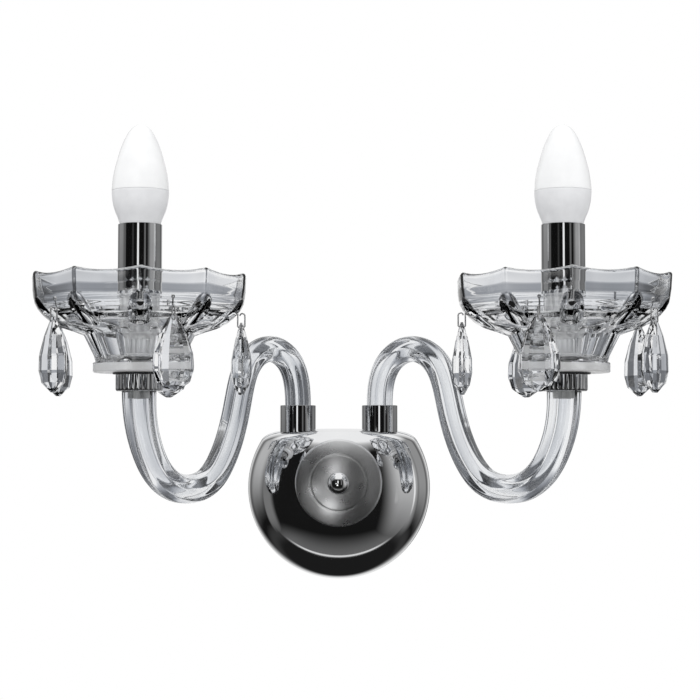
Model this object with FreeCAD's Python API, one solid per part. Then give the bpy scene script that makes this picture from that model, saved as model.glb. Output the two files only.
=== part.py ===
import math
import os

import FreeCAD
import Part

Vec = FreeCAD.Vector
UP = Vec(0, 0, 1)
OUT = Vec(0, -1, 0)

# All sizes in mm. The wall is the plane y = 0, the room is at -y, z is up.
# x = 0, z = 0 is the centre of the wall cover's round outline.

# Clearances between neighbouring pieces.
fit_gap = 0.1
run_gap = 0.08
glue_gap = 0.3

# Wall cover: a pressed dome, cut level at the top, with a rolled rim.
cover_radius = 60.8
cover_depth = 66.0
cover_side = 24.0
cover_shoulder = 31.0
cover_top = 38.5
cover_arch = 600.0
cover_corner = 7.0
cover_wall = 1.2
bead_height = 1.7
bead_depth = 3.6
bead_round = 1.4

# Boss disc and ball nut on the cover's face, round the stud.
stud_z = 4.0
stud_radius = 2.5
boss_radius = 28.6
boss_wall = 1.3
boss_ring_radius = 18.4
boss_ring_width = 0.9
boss_ring_depth = 0.45
ball_radius = 7.2
ball_neck_radius = 4.6
ball_neck_height = 2.2
ball_collar_radius = 5.7
ball_collar_height = 1.0
ball_thread_depth = 9.0

# Steel parts behind the cover.
bracket_length = 92.0
bracket_height = 20.0
bracket_wall = 2.5
bracket_corner = 4.0
bracket_slot_spacing = 70.0
bracket_slot_radius = 2.4
bracket_slot_length = 12.0
collar_radius = 5.0
collar_height = 2.0
carrier_wall = 3.0
carrier_width = 36.0
carrier_shelf_margin = 11.5
carrier_shelf_reach = 42.0
carrier_shelf_wall = 4.0
carrier_bottom = -34.0
carrier_corner = 5.0
stud_nut_radius = 4.9
stud_nut_height = 4.0

# Terminal block on the carrier's leg.
block_size = (30.0, 13.0, 15.0)
block_z = -24.0
block_ways = 3
block_way_radius = 2.6
block_way_depth = 5.2
block_screw_radius = 2.0
block_screw_depth = 5.2

# The two arms: where each one stands on the cover and where its candle stands.
ferrule_x = 27.5
ferrule_y = -30.0
candle_y = -90.0
candle_x = {"left": -127.6, "right": 144.7}
hand = {"left": -1, "right": 1}

# Chrome ferrule on the cover, with its hollow screw and nut.
ferrule_radius = 12.0
ferrule_height = 17.0
ferrule_floor = 3.7
ferrule_edge = 0.4
nipple_radius = 5.0
nipple_bore = 3.4
nipple_grip = 12.0
nipple_below = 12.0
nut_radius = 8.2
nut_height = 4.0

# Glass arm: up out of the ferrule, over an arch, down to a U and up into the cup.
# The line between its two straight ends is given as share of its reach, and height.
arm_top = 70.5
arm_tail = 8.5
arm_lead = 0.5
arm_line = [
    (0.012, 72.0), (0.07, 86.5), (0.185, 93.0), (0.305, 85.5), (0.372, 67.5), (0.405, 49.0),
    (0.445, 32.0), (0.50, 17.0), (0.585, 4.5), (0.69, 0.3), (0.80, 2.6), (0.89, 12.0),
    (0.95, 26.0), (0.985, 41.0), (0.998, 54.0),
]
arm_radius_low = 8.65
arm_radius_mid = 9.2
arm_radius_high = 11.25
arm_swell = 1.5
arm_flutes = 8
arm_flute_depth = 0.9
arm_stations = 34
arm_samples = 240
arm_step_length = 24.0
arm_step_turn = 16.0
arm_bore = 3.5

# Chrome cup under the bowl, and the dark washer on it.
cup_radius = 15.15
cup_socket = 7.5
cup_floor = 3.5
cup_round = 1.6
cup_edge = 0.6
cup_flutes = 22
cup_flute_radius = 2.6
cup_flute_depth = 0.4
washer_radius = 17.0
washer_wall = 1.0

# Cut crystal bowl. Its walls are given as (radius, height over the seat): two points make
# a straight run, three make an arc. Shoulder and wall follow the circle of the hooks' pins.
wire_pin_r = 63.0
bowl_foot_radius = 29.5
bowl_foot_height = 6.0
bowl_foot_edge = 0.6
bowl_stem = [(28.0, 6.5), (31.0, 14.4), (35.7, 23.8)]
bowl_dish = [(35.7, 23.8), (wire_pin_r - 13.0, 28.8)]
bowl_shoulder = [(wire_pin_r - 13.0, 28.8), (wire_pin_r - 1.8, 35.9), (wire_pin_r + 4.4, 43.9)]
bowl_wall = [(wire_pin_r + 4.4, 43.9), (wire_pin_r + 6.4, 53.0), (wire_pin_r + 7.0, 62.0)]
bowl_inner_wall = [(wire_pin_r + 3.3, 62.0), (wire_pin_r + 2.3, 47.5)]
bowl_inner_shoulder = [(wire_pin_r + 2.3, 47.5), (wire_pin_r - 1.8, 40.2), (wire_pin_r - 13.0, 34.2)]
bowl_inner_dish = [(wire_pin_r - 13.0, 34.2), (32.5, 27.0)]
bowl_well = [(32.5, 27.0), (24.0, 9.6)]
bowl_well_round = [(24.0, 9.6), (20.0, 7.4)]
rim_rise = 2.6
cusp_count = 10
cusp_start = {"left": 7.0, "right": -2.0}
leaf_cut_radius = 9.0
leaf_cut_depth = 1.3
stem_cut_radius = 7.0
stem_cut_depth = 0.9
stem_cut_margin = 1.5

# Turned candle cup, lampholder and sleeve.
candle_foot_radius = 12.5
candle_foot_height = 4.5
candle_neck_radius = 8.5
candle_neck_height = 14.6
candle_cup_radius = 12.8
candle_cup_bend = [(2.6, 1.8), (8.5, 8.5)]
candle_recess_height = 19.6
candle_cup_height = 42.9
sleeve_length = 45.0
sleeve_radius = 14.15
sleeve_wall = 0.7
sleeve_ledge = 1.2
holder_radius = 11.8
holder_length = 56.5
holder_collar_drop = 8.5
holder_collar_height = 3.0
holder_wire_radius = 1.2

# Candle bulb: profiles as (radius, height over the cap's top) and (radius, height over the seam).
cap_radius = 7.0
cap_length = 23.5
cap_flange = 1.2
cap_tip_radius = 4.6
cap_tip_height = 2.6
cap_above_holder = 1.0
seam_height = 32.5
diffuser_wall = 1.2
housing_floor = 3.0
housing_line = [(18.4, 32.5), (18.1, 28.0), (16.4, 20.0), (13.7, 13.1), (12.4, 8.5), (10.4, 3.0), (8.6, 0.0)]
diffuser_line = [(18.4, 0.0), (18.2, 3.5), (17.4, 10.3), (15.1, 20.2), (12.3, 29.2), (9.2, 36.0), (5.4, 41.2),
                 (0.0, 43.8)]

# Wire hooks: they drop through the bowl's shoulder and carry the crystal drops.
drop_count = 5
drop_start = {"left": 25.0, "right": -20.0}
wire_radius = 0.5
wire_head_radius = 1.2
wire_head_height = 44.5
wire_bend = 0.8
wire_gap = 4.6
wire_curl = 1.6
wire_leg = 7.2
drop_hole_height = 29.8

# Crystal drop: half width and half thickness by depth below its top.
drop_top_above = 2.7
drop_outline = [(0.0, 2.2), (2.3, 4.3), (10.9, 8.4), (23.6, 12.45), (30.4, 13.2), (34.3, 12.7), (41.9, 10.2),
                (45.4, 4.6), (46.6, 1.2)]
drop_ridge = [(0.0, 0.9), (12.0, 4.1), (24.0, 6.3), (33.0, 6.4), (40.5, 4.9), (46.6, 1.4)]
drop_column_shares = [(0.40, 1.0), (0.78, 0.66), (1.0, 0.14)]

# Width and heights that follow from the sizes above.
carrier_shelf_width = 2 * (ferrule_x + carrier_shelf_margin)
arm_foot = cover_top + ferrule_floor
cup_bottom = arm_top - cup_socket
cup_top = arm_top + cup_floor
bowl_seat = cup_top + washer_wall
bowl_floor = bowl_seat + bowl_well_round[-1][1]
candle_recess = bowl_floor + candle_recess_height
sleeve_bottom = bowl_floor + candle_cup_height
holder_top = candle_recess + holder_length
cap_top = holder_top + cap_above_holder
cap_bottom = cap_top - cap_length
bulb_seam = cap_top + seam_height
drop_hole_z = bowl_seat + drop_hole_height
wire_head_z = bowl_seat + wire_head_height
wire_curl_z = drop_hole_z + wire_leg


def segment(run):
    """Edge of a profile: straight for two points, an arc for three, a smooth curve for more."""
    points = [Vec(r, 0, z) for r, z in run]
    if len(points) == 2:
        return Part.LineSegment(*points).toShape()
    if len(points) == 3:
        return Part.Arc(*points).toShape()
    curve = Part.BSplineCurve()
    curve.interpolate(points)
    return curve.toShape()


def raised(run, height):
    return [(r, z + height) for r, z in run]


def turned(runs, x=0.0, y=0.0):
    """Solid of revolution about a vertical axis, from runs of (radius, height) points."""
    wire = Part.Wire([segment(run) for run in runs])
    solid = Part.Face(wire).revolve(Vec(0, 0, 0), UP, 360)
    solid.translate(Vec(x, y, 0))
    return solid


def turned_lines(points, x=0.0, y=0.0):
    closed = points + points[:1]
    return turned([closed[i:i + 2] for i in range(len(points))], x, y)


def rod(radius, z_low, z_high, x=0.0, y=0.0):
    return Part.makeCylinder(radius, z_high - z_low, Vec(x, y, z_low), UP)


def tube(radius, bore, z_low, z_high, x=0.0, y=0.0):
    return rod(radius, z_low, z_high, x, y).cut(rod(bore, z_low - 1, z_high + 1, x, y))


def around(radius, degrees):
    angle = math.radians(degrees)
    return radius * math.cos(angle), radius * math.sin(angle)


def front_rod(radius, y_back, y_front, x=0.0, z=0.0):
    return Part.makeCylinder(radius, y_back - y_front, Vec(x, y_back, z), OUT)


def box(x0, x1, y0, y1, z0, z1):
    return Part.makeBox(x1 - x0, y1 - y0, z1 - z0, Vec(x0, y0, z0))


def hexagon(radius, z_low, z_high, x=0.0, y=0.0):
    corners = []
    for k in range(7):
        angle = math.radians(60 * k)
        corners.append(Vec(x + radius * math.cos(angle), y + radius * math.sin(angle), z_low))
    return Part.Face(Part.makePolygon(corners)).extrude(Vec(0, 0, z_high - z_low))


def spun(shape, angle):
    copy = shape.copy()
    copy.rotate(Vec(0, 0, 0), UP, angle)
    return copy


def place_round(shape, side, angle):
    """Take a shape drawn in the x-z plane of a bowl (x = radius) to its angle round the candle."""
    copy = spun(shape, angle - 90)
    copy.translate(Vec(candle_x[side], candle_y, 0))
    return copy


def dome(grow):
    """The cover's dome without its top cut, grown (or shrunk) evenly: side, shoulder arc, crown arc."""
    rim = cover_radius + grow
    front = cover_depth + grow
    bend = cover_shoulder + grow
    r_bend = rim - bend
    rise = front - cover_side
    crown = (r_bend ** 2 + rise ** 2 - bend ** 2) / (2 * (rise - bend))
    crown_d = front - crown
    meet = math.atan2(cover_side - crown_d, r_bend)

    def p(r, d):
        return Vec(0, -d, -r)

    def on_bend(angle):
        return p(r_bend + bend * math.cos(angle), cover_side + bend * math.sin(angle))

    def on_crown(angle):
        return p(crown * math.cos(angle), crown_d + crown * math.sin(angle))

    edges = [
        Part.LineSegment(p(rim, 0), p(rim, cover_side)).toShape(),
        Part.Arc(on_bend(0), on_bend(meet / 2), on_bend(meet)).toShape(),
        Part.Arc(on_crown(meet), on_crown((meet + math.pi / 2) / 2), p(0, front)).toShape(),
        Part.LineSegment(p(0, front), p(0, 0)).toShape(),
        Part.LineSegment(p(0, 0), p(rim, 0)).toShape(),
    ]
    return Part.Face(Part.Wire(edges)).revolve(Vec(0, 0, 0), Vec(0, 1, 0), 360)


def arch_solid(top, radius):
    """Everything below the cover's gently arched top."""
    return Part.makeCylinder(radius, 3 * cover_depth, Vec(0, cover_depth, top - radius), OUT)


def cover_form(grow):
    body = dome(grow).common(arch_solid(cover_top + grow, cover_arch + grow))
    rim = [e for e in body.Edges if e.BoundBox.ZMin > cover_top * 0.5 and e.BoundBox.YMin < -1]
    return body.makeFillet(cover_corner + grow, rim)


def build_cover():
    outer = cover_form(0)
    inner = cover_form(-cover_wall)
    slab = box(-cover_depth, cover_depth, -bead_depth, 0, -cover_depth, cover_depth)
    bead = cover_form(bead_height).common(slab)
    edges = [e for e in bead.Edges if abs(e.BoundBox.YMax + bead_depth) < 0.01 and e.BoundBox.YLength < 0.01]
    bead = bead.makeFillet(bead_round, edges)
    shell = outer.fuse(bead).cut(inner)
    holes = [rod(nipple_radius + fit_gap, 0, cover_top + 1, s * ferrule_x, ferrule_y) for s in (-1, 1)]
    holes.append(front_rod(stud_radius + fit_gap, -cover_depth / 2, -cover_depth - 1, 0, stud_z))
    return shell.cut(Part.makeCompound(holes))


def build_boss():
    disc = dome(boss_wall).cut(dome(0))
    disc = disc.common(front_rod(boss_radius, -cover_depth / 2, -2 * cover_depth, 0, stud_z))
    face_y = -cover_depth - boss_wall
    root_y = -cover_depth / 2
    groove = front_rod(boss_ring_radius + boss_ring_width, root_y, face_y, 0, stud_z)
    groove = groove.cut(front_rod(boss_ring_radius, root_y, face_y, 0, stud_z))
    floor = dome(boss_wall - boss_ring_depth)
    disc = disc.cut(groove.cut(floor))
    return disc.cut(front_rod(stud_radius + fit_gap, 0, -2 * cover_depth, 0, stud_z))


def build_ball_nut():
    seat_y = -cover_depth - boss_wall
    centre_y = seat_y - ball_neck_height - math.sqrt(ball_radius ** 2 - ball_neck_radius ** 2)
    nut = Part.makeSphere(ball_radius, Vec(0, centre_y, stud_z))
    nut = nut.fuse(front_rod(ball_neck_radius, seat_y, centre_y, 0, stud_z))
    nut = nut.fuse(front_rod(ball_collar_radius, seat_y, seat_y - ball_collar_height, 0, stud_z))
    bore = front_rod(stud_radius + run_gap, seat_y + 1, seat_y - ball_thread_depth, 0, stud_z)
    return nut.cut(bore)


def build_bracket():
    plate = box(-bracket_length / 2, bracket_length / 2, -bracket_wall, 0,
                stud_z - bracket_height / 2, stud_z + bracket_height / 2)
    plate = plate.makeFillet(bracket_corner, [e for e in plate.Edges if e.BoundBox.YLength > 1])
    cuts = [front_rod(stud_radius + fit_gap, 1, -bracket_wall - 1, 0, stud_z)]
    half = (bracket_slot_length - 2 * bracket_slot_radius) / 2
    for s in (-1, 1):
        x = s * bracket_slot_spacing / 2
        cuts.append(front_rod(bracket_slot_radius, 1, -bracket_wall - 1, x - half, stud_z))
        cuts.append(front_rod(bracket_slot_radius, 1, -bracket_wall - 1, x + half, stud_z))
        cuts.append(box(x - half, x + half, -bracket_wall - 1, 1,
                        stud_z - bracket_slot_radius, stud_z + bracket_slot_radius))
    for cut in cuts:
        plate = plate.cut(cut)
    return plate


def build_stud():
    tip_y = -cover_depth - boss_wall - ball_thread_depth + 1.0
    stud = front_rod(stud_radius, 0, tip_y, 0, stud_z)
    return stud.fuse(front_rod(collar_radius, -bracket_wall, -bracket_wall - collar_height, 0, stud_z))


carrier_back = -bracket_wall - collar_height
carrier_front = carrier_back - carrier_wall
shelf_top = cover_top - cover_wall
shelf_under = shelf_top - carrier_shelf_wall


def build_carrier():
    half = carrier_width / 2
    leg = box(-half, half, carrier_front, carrier_back, carrier_bottom, shelf_under + 1)
    low_edges = [e for e in leg.Edges if e.BoundBox.YLength > 1 and e.CenterOfMass.z < 0]
    leg = leg.makeFillet(carrier_corner, low_edges)
    half = carrier_shelf_width / 2
    shelf = box(-half, half, -carrier_shelf_reach, carrier_back, shelf_under, shelf_top + 1)
    shelf = shelf.makeFillet(carrier_corner, [e for e in shelf.Edges
                                              if e.BoundBox.ZLength > 1 and e.CenterOfMass.y < ferrule_y])
    shelf = shelf.common(arch_solid(shelf_top, cover_arch - cover_wall))
    plate = leg.fuse(shelf).removeSplitter()
    hole = nipple_radius + fit_gap
    holes = [rod(hole, shelf_under - 1, cover_top, s * ferrule_x, ferrule_y) for s in (-1, 1)]
    holes.append(front_rod(stud_radius + fit_gap, 0, carrier_front - 1, 0, stud_z))
    return plate.cut(Part.makeCompound(holes))


def build_stud_nut():
    nut = hexagon(stud_nut_radius, 0, stud_nut_height)
    nut = nut.cut(rod(stud_radius + fit_gap, -1, stud_nut_height + 1))
    nut.rotate(Vec(0, 0, 0), Vec(1, 0, 0), 90)
    nut.translate(Vec(0, carrier_front, stud_z))
    return nut


def build_block():
    wide, deep, tall = block_size
    front = carrier_front - deep
    body = box(-wide / 2, wide / 2, front, carrier_front, block_z - tall / 2, block_z + tall / 2)
    pitch = wide / block_ways
    for k in range(block_ways):
        x = pitch * (k - (block_ways - 1) / 2)
        way_y = carrier_front - block_way_depth
        body = body.cut(rod(block_way_radius, block_z - tall, block_z + tall, x, way_y))
        body = body.cut(front_rod(block_screw_radius, front + block_screw_depth, front - 1, x, block_z))
    return body


def arm_frame(side):
    """Foot point, unit direction over the floor and reach of one arm."""
    foot = Vec(hand[side] * ferrule_x, ferrule_y, 0)
    run = Vec(candle_x[side], candle_y, 0) - foot
    return foot, run * (1 / run.Length), run.Length


def arm_stops(side):
    """Points and directions along the arm's centre line, closer together where it bends."""
    foot, way, reach = arm_frame(side)
    ends = [foot + UP * arm_foot, foot + UP * (cover_top + ferrule_height + arm_lead),
            foot + way * reach + UP * (arm_top - arm_tail), foot + way * reach + UP * arm_top]
    curve = Part.BSplineCurve()
    curve.interpolate(ends[:2] + [foot + way * (share * reach) + UP * z for share, z in arm_line] + ends[2:])
    first, last = curve.parameter(ends[1]), curve.parameter(ends[2])
    samples = []
    measure = 0.0
    for i in range(arm_samples + 1):
        u = first + (last - first) * i / arm_samples
        along = Vec(*curve.tangent(u)[0]).normalize()
        point = curve.value(u)
        if samples:
            turn = math.degrees(samples[-1][2].getAngle(along))
            measure += samples[-1][1].distanceToPoint(point) / arm_step_length + turn / arm_step_turn
        samples.append((measure, point, along))
    stops = [(ends[0], UP)]
    for k in range(arm_stations + 1):
        goal = measure * k / arm_stations
        nearest = min(samples, key=lambda sample: abs(sample[0] - goal))
        stops.append(nearest[1:])
    stops.append((ends[3], UP))
    return stops


def arm_radius(share):
    if share < 0.5:
        return arm_radius_low + (arm_radius_mid - arm_radius_low) * share / 0.5
    return arm_radius_mid + (arm_radius_high - arm_radius_mid) * ((share - 0.5) / 0.5) ** arm_swell


def flute_section(point, along, across, radius):
    """Closed outline of lobes, as one arc for each lobe."""
    inward = along.cross(across)
    step = 2 * math.pi / arm_flutes

    def at(angle, r):
        return point + across * (r * math.cos(angle)) + inward * (r * math.sin(angle))

    arcs = []
    for k in range(arm_flutes):
        a = k * step
        arcs.append(Part.Arc(at(a, radius - arm_flute_depth), at(a + step / 2, radius),
                             at(a + step, radius - arm_flute_depth)).toShape())
    return Part.Wire(arcs)


def build_arm(side):
    foot, way, reach = arm_frame(side)
    across = way.cross(UP)
    stops = arm_stops(side)
    sections = []
    rings = []
    for i, (point, along) in enumerate(stops):
        sections.append(flute_section(point, along, across, arm_radius(i / (len(stops) - 1))))
        if i == 0:
            point = point - UP
        if i == len(stops) - 1:
            point = point + UP
        rings.append(Part.Wire(Part.Circle(point, along, arm_bore).toShape()))
    glass = Part.makeLoft(sections, True, True).cut(Part.makeLoft(rings, True, True))
    hole = nipple_radius + fit_gap
    glass = glass.cut(rod(hole, arm_foot - 1, arm_foot + nipple_grip, foot.x, foot.y))
    return glass.cut(rod(hole, arm_top - nipple_grip, arm_top + 1, candle_x[side], candle_y))


def build_ferrule(side):
    top = cover_top + ferrule_height
    low = cover_top - ferrule_floor
    hole = nipple_radius + fit_gap
    wall = arm_radius_low + glue_gap
    body = turned_lines([
        (hole, low), (ferrule_radius, low), (ferrule_radius, top - ferrule_edge),
        (ferrule_radius - ferrule_edge, top), (wall, top), (wall, arm_foot), (hole, arm_foot),
    ], hand[side] * ferrule_x, ferrule_y)
    return body.cut(arch_solid(cover_top, cover_arch))


def build_arm_nipple(side):
    return tube(nipple_radius, nipple_bore, shelf_under - nipple_below, arm_foot + nipple_grip,
                hand[side] * ferrule_x, ferrule_y)


def build_arm_nut(side):
    x = hand[side] * ferrule_x
    nut = hexagon(nut_radius, shelf_under - nut_height, shelf_under, x, ferrule_y)
    return nut.cut(rod(nipple_radius + fit_gap, 0, cover_top, x, ferrule_y))


def build_cup(side):
    wall = arm_radius_high + glue_gap
    hole = nipple_radius + fit_gap
    cup = turned([
        [(wall, cup_bottom), (cup_radius - cup_round, cup_bottom)],
        [(cup_radius - cup_round, cup_bottom), (cup_radius - cup_round * 0.3, cup_bottom + cup_round * 0.3),
         (cup_radius, cup_bottom + cup_round)],
        [(cup_radius, cup_bottom + cup_round), (cup_radius, cup_top - cup_edge)],
        [(cup_radius, cup_top - cup_edge), (cup_radius - cup_edge, cup_top)],
        [(cup_radius - cup_edge, cup_top), (hole, cup_top)],
        [(hole, cup_top), (hole, arm_top)],
        [(hole, arm_top), (wall, arm_top)],
        [(wall, arm_top), (wall, cup_bottom)],
    ])
    reach = cup_radius + cup_flute_radius - cup_flute_depth
    pitch = 360.0 / cup_flutes
    flutes = [rod(cup_flute_radius, cup_bottom - 1, cup_top - cup_edge, *around(reach, k * pitch))
              for k in range(cup_flutes)]
    cup = cup.cut(flutes)
    cup.translate(Vec(candle_x[side], candle_y, 0))
    return cup


def build_washer(side):
    return tube(washer_radius, nipple_radius + fit_gap, cup_top, bowl_seat, candle_x[side], candle_y)


def meridian_cut(run, radius, depth):
    """Round-bottomed cut along the chord of a run of the bowl's outside."""
    low, high = run[0], run[-1]
    slope = Vec(high[0] - low[0], 0, high[1] - low[1])
    length = slope.Length
    slope.normalize()
    outward = slope.cross(Vec(0, -1, 0))
    if outward.z > 0:
        outward = outward * -1
    start = Vec(low[0], 0, low[1]) + outward * (radius - depth) - slope * length * 0.5
    return Part.makeCylinder(radius, length * 2, start, slope)


def build_bowl(side):
    hole = nipple_radius + fit_gap
    foot = bowl_foot_radius
    edge = bowl_foot_edge
    runs = [
        [(hole, 0.0), (foot - edge, 0.0)],
        [(foot - edge, 0.0), (foot, edge)],
        [(foot, edge), (foot, bowl_foot_height - edge)],
        [(foot, bowl_foot_height - edge), bowl_stem[0]],
        bowl_stem, bowl_dish, bowl_shoulder, bowl_wall,
        [bowl_wall[-1], bowl_inner_wall[0]],
        bowl_inner_wall, bowl_inner_shoulder, bowl_inner_dish, bowl_well, bowl_well_round,
        [bowl_well_round[-1], (hole, bowl_well_round[-1][1])],
        [(hole, bowl_well_round[-1][1]), (hole, 0.0)],
    ]
    bowl = turned([raised(run, bowl_seat) for run in runs])
    step = 360.0 / cusp_count
    rim_radius, rim_top = raised(bowl_wall, bowl_seat)[-1]
    half_chord = rim_radius * math.sin(math.radians(step / 2))
    scallop = (half_chord ** 2 + rim_rise ** 2) / (2 * rim_rise)
    scallop_axis = Vec(rim_radius / 2, 0, rim_top - rim_rise + scallop)
    scallop_cut = Part.makeCylinder(scallop, rim_radius, scallop_axis, Vec(1, 0, 0))
    shoulder = meridian_cut(raised(bowl_shoulder, bowl_seat), leaf_cut_radius, leaf_cut_depth)
    stem = meridian_cut(raised(bowl_stem, bowl_seat), stem_cut_radius, stem_cut_depth)
    stem = stem.common(rod(rim_radius, bowl_seat + bowl_stem[0][1] + stem_cut_margin,
                           bowl_seat + bowl_stem[-1][1] + 2 * stem_cut_margin))
    head_seat = wire_head_z - math.sqrt(wire_head_radius ** 2 - (wire_radius + fit_gap) ** 2) - run_gap
    head_top = wire_head_z + wire_head_radius
    cuts = []
    for k in range(cusp_count):
        for shape, turn in ((scallop_cut, step / 2), (shoulder, 0), (stem, step / 2)):
            cuts.append(spun(shape, k * step + turn))
    for k in range(drop_count):
        angle = drop_start[side] - cusp_start[side] + k * 360.0 / drop_count
        cuts.append(spun(rod(wire_radius + fit_gap, bowl_seat, rim_top, wire_pin_r), angle))
        cuts.append(spun(rod(wire_head_radius + fit_gap, head_seat, head_top, wire_pin_r), angle))
    return place_round(bowl.cut(cuts), side, cusp_start[side])


def build_candle_nipple(side):
    return tube(nipple_radius, nipple_bore, arm_top - nipple_grip, candle_recess - nut_height / 2,
                candle_x[side], candle_y)


def build_candle_cup(side):
    foot_top = bowl_floor + candle_foot_height
    neck_top = bowl_floor + candle_neck_height
    hole = nipple_radius + fit_gap
    recess = holder_radius + fit_gap
    ledge = sleeve_bottom - sleeve_ledge
    edge = bowl_foot_edge
    (out_0, up_0), (_, up_1) = candle_cup_bend
    bend = [(candle_neck_radius, neck_top), (candle_neck_radius + out_0, neck_top + up_0),
            (candle_cup_radius, neck_top + up_1)]
    points = [(hole, bowl_floor), (candle_foot_radius, bowl_floor), (candle_foot_radius, foot_top - edge),
              (candle_foot_radius - edge, foot_top), (candle_neck_radius, foot_top), bend[0]]
    runs = [points[i:i + 2] for i in range(len(points) - 1)]
    runs.append(bend)
    points = [bend[-1], (candle_cup_radius, ledge), (sleeve_radius, ledge), (sleeve_radius, sleeve_bottom),
              (recess, sleeve_bottom), (recess, candle_recess), (hole, candle_recess), (hole, bowl_floor)]
    runs += [points[i:i + 2] for i in range(len(points) - 1)]
    return turned(runs, candle_x[side], candle_y)


def build_holder(side):
    x = candle_x[side]
    floor = cap_bottom - holder_collar_height
    body = rod(holder_radius, candle_recess, holder_top, x, candle_y)
    collar_top = holder_top - holder_collar_drop + holder_collar_height
    body = body.fuse(rod(sleeve_radius - sleeve_wall - fit_gap, collar_top - holder_collar_height, collar_top,
                         x, candle_y))
    body = body.cut(rod(cap_radius + run_gap, cap_bottom, holder_top + 1, x, candle_y))
    body = body.cut(rod(nipple_bore, candle_recess - 1, floor, x, candle_y))
    for s in (-1, 1):
        wire_x = x + s * (nipple_bore + cap_radius) / 2
        body = body.cut(rod(holder_wire_radius, candle_recess - 1, cap_bottom + 1, wire_x, candle_y))
    return body


def build_sleeve(side):
    return tube(sleeve_radius, sleeve_radius - sleeve_wall, sleeve_bottom, sleeve_bottom + sleeve_length,
                candle_x[side], candle_y)


def build_diffuser(side):
    outer = raised(diffuser_line, bulb_seam)
    wide = outer[0][0]
    inner = [(max(r - diffuser_wall, 0), z - diffuser_wall * (1 - r / wide)) for r, z in outer]
    runs = [outer, [outer[-1], inner[-1]], inner[::-1], [inner[0], outer[0]]]
    return turned(runs, candle_x[side], candle_y)


def build_housing(side):
    outer = raised(housing_line, cap_top)
    low = outer[-1]
    floor = bulb_seam - housing_floor
    well = outer[0][0] - 2 * diffuser_wall
    return turned([
        outer, [low, (0, low[1])], [(0, low[1]), (0, floor)], [(0, floor), (well, floor)],
        [(well, floor), (well, bulb_seam)], [(well, bulb_seam), outer[0]],
    ], candle_x[side], candle_y)


def build_cap(side):
    tip = cap_bottom + cap_tip_height
    return turned_lines([
        (0, cap_bottom), (cap_tip_radius * 0.5, cap_bottom), (cap_tip_radius, tip),
        (cap_radius - cap_flange, tip), (cap_radius, tip + cap_flange),
        (cap_radius, holder_top + fit_gap), (cap_radius + cap_flange, cap_top), (0, cap_top),
    ], candle_x[side], candle_y)


def wire_turn(centre, start, angle):
    """Bent stretch of a round wire in the x-z plane, turned about a centre from a start point."""
    along = (start - centre).cross(Vec(0, 1, 0))
    ring = Part.Face(Part.Wire(Part.Circle(start, along, wire_radius).toShape()))
    return ring.revolve(centre, Vec(0, 1, 0), angle)


def build_wire():
    """One wire hook in a bowl's x-z plane: pin, rung through the crystal, rising leg and curl."""
    outer = wire_pin_r + wire_gap
    b = wire_bend
    low = drop_hole_z
    pieces = [
        rod(wire_radius, low + b, wire_head_z, wire_pin_r),
        wire_turn(Vec(wire_pin_r + b, 0, low + b), Vec(wire_pin_r, 0, low + b), -90),
        Part.makeCylinder(wire_radius, wire_gap - 2 * b, Vec(wire_pin_r + b, 0, low), Vec(1, 0, 0)),
        wire_turn(Vec(outer - b, 0, low + b), Vec(outer - b, 0, low), -90),
        rod(wire_radius, low + b, wire_curl_z, outer),
        wire_turn(Vec(outer - wire_curl, 0, wire_curl_z), Vec(outer, 0, wire_curl_z), -180),
        Part.makeSphere(wire_head_radius, Vec(wire_pin_r, 0, wire_head_z)),
    ]
    return pieces[0].multiFuse(pieces[1:]).removeSplitter()


def beyond(a, b, c, inside):
    """Large block that lies on the far side of the plane through three points, seen from inside."""
    normal = (b - a).cross(c - a).normalize()
    if normal.dot(inside - a) > 0:
        normal = normal * -1
    size = 120.0
    block = Part.makeBox(size, size, size, Vec(-size / 2, -size / 2, 0))
    block.Placement = FreeCAD.Placement(a, FreeCAD.Rotation(UP, normal)).multiply(block.Placement)
    return block


def interpolate(table, depth):
    for (d0, v0), (d1, v1) in zip(table, table[1:]):
        if depth <= d1:
            return v0 + (v1 - v0) * (depth - d0) / (d1 - d0)
    return table[-1][1]


def build_drop():
    """One cut drop, hung at its hole on the origin: width along y, thickness along x."""
    top = drop_top_above
    length = drop_outline[-1][0]
    centre = Vec(0, 0, top - length / 2)

    def p(thick, wide, depth):
        return Vec(thick, wide, top - depth)

    half = max(width for _, width in drop_outline)
    reach = max(thick for _, thick in drop_ridge)
    drop = box(-reach, reach, -half, half, top - length, top)
    cutters = []
    for (d0, w0), (d1, w1) in zip(drop_outline, drop_outline[1:]):
        for s in (-1, 1):
            cutters.append(beyond(p(0, s * w0, d0), p(0, s * w1, d1), p(1, s * w0, d0), centre))
    for (d0, t0), (d1, t1) in zip(drop_ridge, drop_ridge[1:]):
        w0 = interpolate(drop_outline, d0)
        w1 = interpolate(drop_outline, d1)
        for f in (-1, 1):
            cutters.append(beyond(p(f * t0, 0, d0), p(f * t1, 0, d1), p(f * t0, half, d0), centre))
            for (share0, thin0), (share1, thin1) in zip(drop_column_shares, drop_column_shares[1:]):
                for s in (-1, 1):
                    high = p(f * t0 * thin0, s * w0 * share0, d0)
                    deep = p(f * t1 * thin0, s * w1 * share0, d1)
                    out = p(f * t0 * thin1, s * w0 * share1, d0)
                    cutters.append(beyond(high, deep, out, centre))
    for cutter in cutters:
        drop = drop.cut(cutter)
    hole = Part.makeCylinder(wire_radius + run_gap, 2 * reach, Vec(-reach, 0, 0), Vec(1, 0, 0))
    return drop.cut(hole)


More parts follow.
